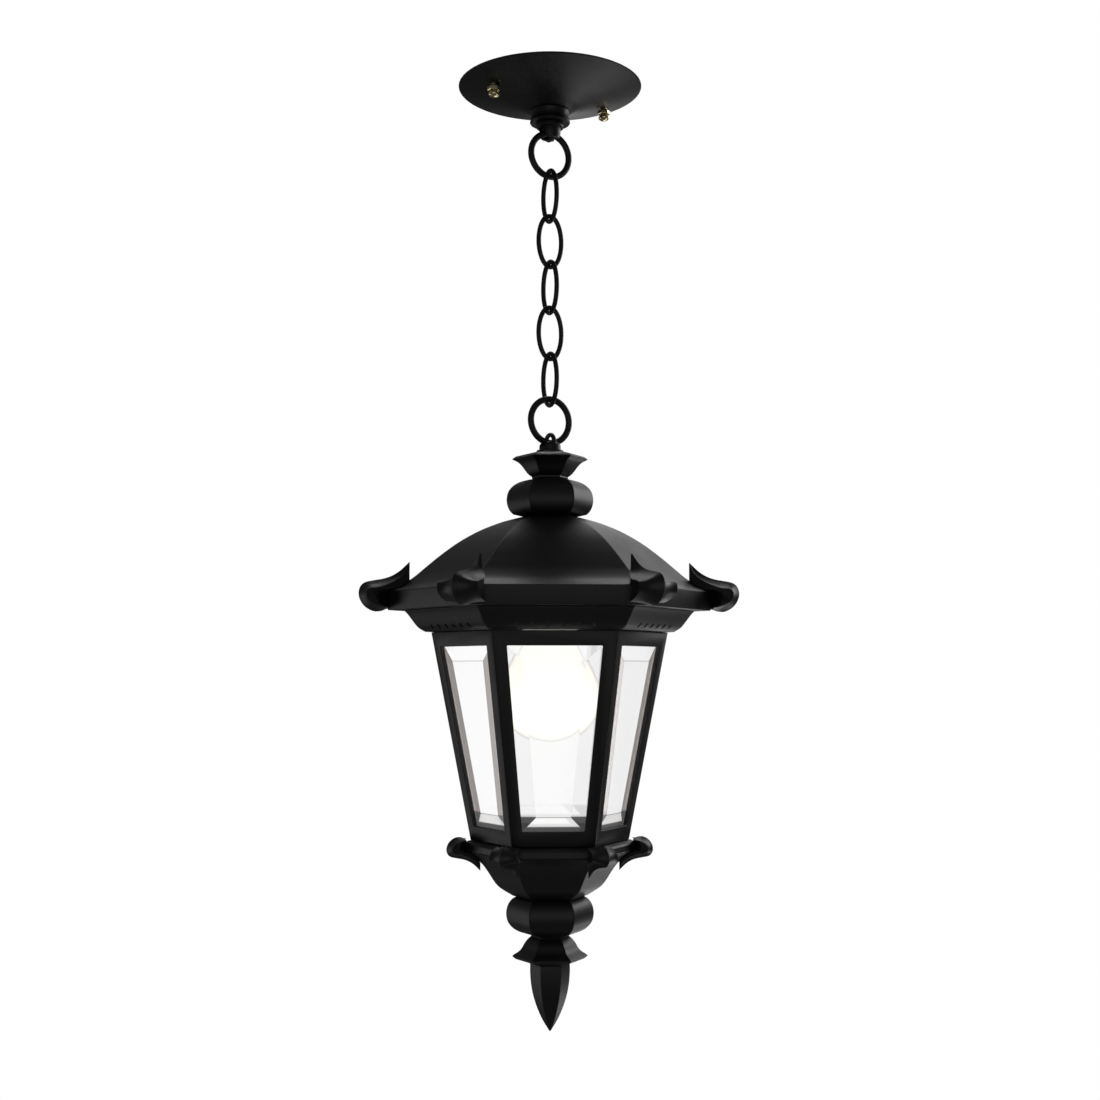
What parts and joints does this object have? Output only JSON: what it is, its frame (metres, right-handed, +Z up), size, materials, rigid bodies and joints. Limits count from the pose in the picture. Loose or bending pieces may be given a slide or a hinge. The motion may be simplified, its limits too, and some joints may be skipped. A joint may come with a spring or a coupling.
{
  "type": "hanging lantern",
  "caption": "Six-sided hanging lantern in black metal with bevelled glass, corner scrolls and a drop finial, hung by a ring-and-link chain from a round ceiling canopy.",
  "frame": {"origin": "centre of the crossbar's top face, on the ceiling", "axes": "+Z up into the ceiling; -Y towards the front of the lantern, square to one pair of glass panels; the corner posts stand at azimuths of 0 and every 60 degrees"},
  "size_m": [0.2584, 0.2272, 0.643],
  "materials": {
    "coat": "satin black powder coat over cast aluminium",
    "wire": "satin black paint over steel wire",
    "brass": "polished",
    "zinc": "zinc plated, dull",
    "alloy": "spun, bright",
    "china": null,
    "pane": "clear, bevelled edges",
    "frost": "frosted inside",
    "green_screw": "green passivated"
  },
  "bodies": {
    "ceiling_plate": {"crossbar": "zinc", "ground_screw": "green_screw", "canopy_stud_a": "brass", "canopy_stud_b": "brass", "stud_hex_nut_a": "brass", "stud_hex_nut_b": "brass", "ball_nut_a": "brass", "ball_nut_b": "brass", "canopy": "coat", "screw_collar": "coat", "canopy_loop": "wire", "loop_locknut": "zinc"},
    "top_ring": {"top_ring": "wire"},
    "chain_link_1": {"chain_link_1": "wire"},
    "chain_link_2": {"chain_link_2": "wire"},
    "chain_link_3": {"chain_link_3": "wire"},
    "chain_link_4": {"chain_link_4": "wire"},
    "chain_link_5": {"chain_link_5": "wire"},
    "bottom_ring": {"bottom_ring": "wire"},
    "lantern": {"lantern_loop": "wire", "stem": "zinc", "stem_nut": "zinc", "cap": "coat", "upper_knop": "coat", "roof": "coat", "roof_scroll_1": "coat", "roof_scroll_2": "coat", "roof_scroll_3": "coat", "roof_scroll_4": "coat", "roof_scroll_5": "coat", "roof_scroll_6": "coat", "cornice": "coat", "cage_frame": "coat", "glass_panel_1": "pane", "glass_panel_2": "pane", "glass_panel_3": "pane", "glass_panel_4": "pane", "glass_panel_5": "pane", "glass_panel_6": "pane", "glass_keeper": "alloy", "socket_bracket": "zinc", "socket_body": "china", "socket_shell": "alloy", "bulb_base": "alloy", "bulb_glass": "frost", "tray": "coat", "bowl": "coat", "lower_scroll_1": "coat", "lower_scroll_2": "coat", "lower_scroll_3": "coat", "lower_scroll_4": "coat", "lower_scroll_5": "coat", "lower_scroll_6": "coat", "lower_knop": "coat", "skirt": "coat", "spike": "coat", "tie_rod": "zinc", "tie_rod_nut": "zinc"}
  },
  "joints": [
    {"name": "top_ring_swing", "type": "hinge", "parent": "ceiling_plate", "child": "top_ring", "pos_m": [0, 0, -0.0373], "axis": [-0.4695, 0.8829, 0], "range_deg": [-25, 25]},
    {"name": "chain_link_1_swing", "type": "hinge", "parent": "top_ring", "child": "chain_link_1", "pos_m": [0, 0, -0.0634], "axis": [0.8829, 0.4695, 0], "range_deg": [-25, 25]},
    {"name": "chain_link_2_swing", "type": "hinge", "parent": "chain_link_1", "child": "chain_link_2", "pos_m": [0, 0, -0.09495], "axis": [-0.4695, 0.8829, 0], "range_deg": [-25, 25]},
    {"name": "chain_link_3_swing", "type": "hinge", "parent": "chain_link_2", "child": "chain_link_3", "pos_m": [0, 0, -0.12705], "axis": [0.8829, 0.4695, 0], "range_deg": [-25, 25]},
    {"name": "chain_link_4_swing", "type": "hinge", "parent": "chain_link_3", "child": "chain_link_4", "pos_m": [0, 0, -0.15915], "axis": [-0.4695, 0.8829, 0], "range_deg": [-25, 25]},
    {"name": "chain_link_5_swing", "type": "hinge", "parent": "chain_link_4", "child": "chain_link_5", "pos_m": [0, 0, -0.19125], "axis": [0.8829, 0.4695, 0], "range_deg": [-25, 25]},
    {"name": "bottom_ring_swing", "type": "hinge", "parent": "chain_link_5", "child": "bottom_ring", "pos_m": [0, 0, -0.22335], "axis": [-0.4695, 0.8829, 0], "range_deg": [-25, 25]},
    {"name": "lantern_swing", "type": "hinge", "parent": "bottom_ring", "child": "lantern", "pos_m": [0, 0, -0.2493], "axis": [0.8829, 0.4695, 0], "range_deg": [-25, 25]}
  ]
}
